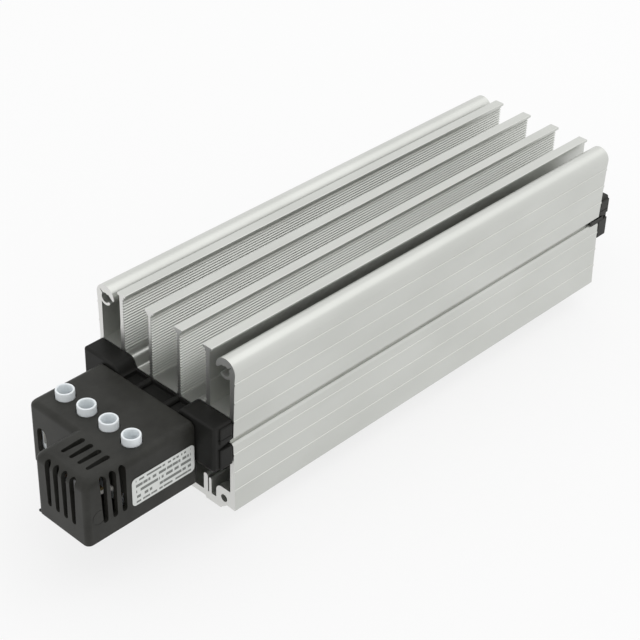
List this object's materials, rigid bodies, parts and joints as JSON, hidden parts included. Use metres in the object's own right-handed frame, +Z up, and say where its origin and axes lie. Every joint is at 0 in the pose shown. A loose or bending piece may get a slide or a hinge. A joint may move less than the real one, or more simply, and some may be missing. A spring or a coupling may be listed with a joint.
{
  "type": "enclosure heater",
  "caption": "Finned aluminium enclosure heater with flat ceramic heating stones, a plastic terminal box with screw collars and a vented cage, an end cap and a rail clip.",
  "frame": {"origin": "under the middle of the outline, on the surface the heater stands on with its clip", "axes": "+X along the profile from the terminal box to the end cap, +Z up from the rail clip to the fin tops, +Y across the fins"},
  "size_m": [0.2376, 0.0612, 0.0641],
  "materials": {
    "anodised_aluminium": "satin anodised, drawn along its length, saw-cut ends",
    "plain_aluminium": "plain rolled",
    "black_polyamide": "moulded, fine satin texture",
    "phenolic_resin": "moulded resin",
    "natural_nylon": "smooth bluish white",
    "brass": "turned",
    "zinc_plated_steel": "bright zinc plate",
    "heating_ceramic": "dry sintered",
    "polyimide_film": "amber film",
    "silicone_insulation": "soft matt",
    "silver_label": "metallised film, blank"
  },
  "bodies": {
    "root": {"heatsink_profile": "anodised_aluminium", "terminal_end_bracket": "black_polyamide", "far_end_cap": "black_polyamide", "terminal_box_cover": "black_polyamide", "terminal_box_base": "black_polyamide", "end_screw_1": "zinc_plated_steel", "end_screw_2": "zinc_plated_steel", "terminal_strip": "natural_nylon", "clamp_insert_1": "brass", "clamp_insert_2": "brass", "clamp_insert_3": "brass", "clamp_insert_4": "brass", "clamp_screw_1": "zinc_plated_steel", "clamp_screw_2": "zinc_plated_steel", "clamp_screw_3": "zinc_plated_steel", "clamp_screw_4": "zinc_plated_steel", "thermostat_body": "phenolic_resin", "thermostat_cap": "plain_aluminium", "thermostat_blade_1": "brass", "thermostat_blade_2": "brass", "insulating_sleeve": "polyimide_film", "ceramic_stone_1": "heating_ceramic", "ceramic_stone_2": "heating_ceramic", "ceramic_stone_3": "heating_ceramic", "ceramic_stone_4": "heating_ceramic", "stone_frame": "natural_nylon", "upper_electrode": "plain_aluminium", "lower_electrode": "plain_aluminium", "element_lead_1": "silicone_insulation", "element_lead_2": "silicone_insulation", "bridge_lead": "silicone_insulation", "thermostat_lead_1": "silicone_insulation", "thermostat_lead_2": "silicone_insulation", "rating_label": "silver_label", "rail_clip": "zinc_plated_steel", "clip_rivet_1": "plain_aluminium", "clip_rivet_2": "plain_aluminium"}
  },
  "joints": []
}
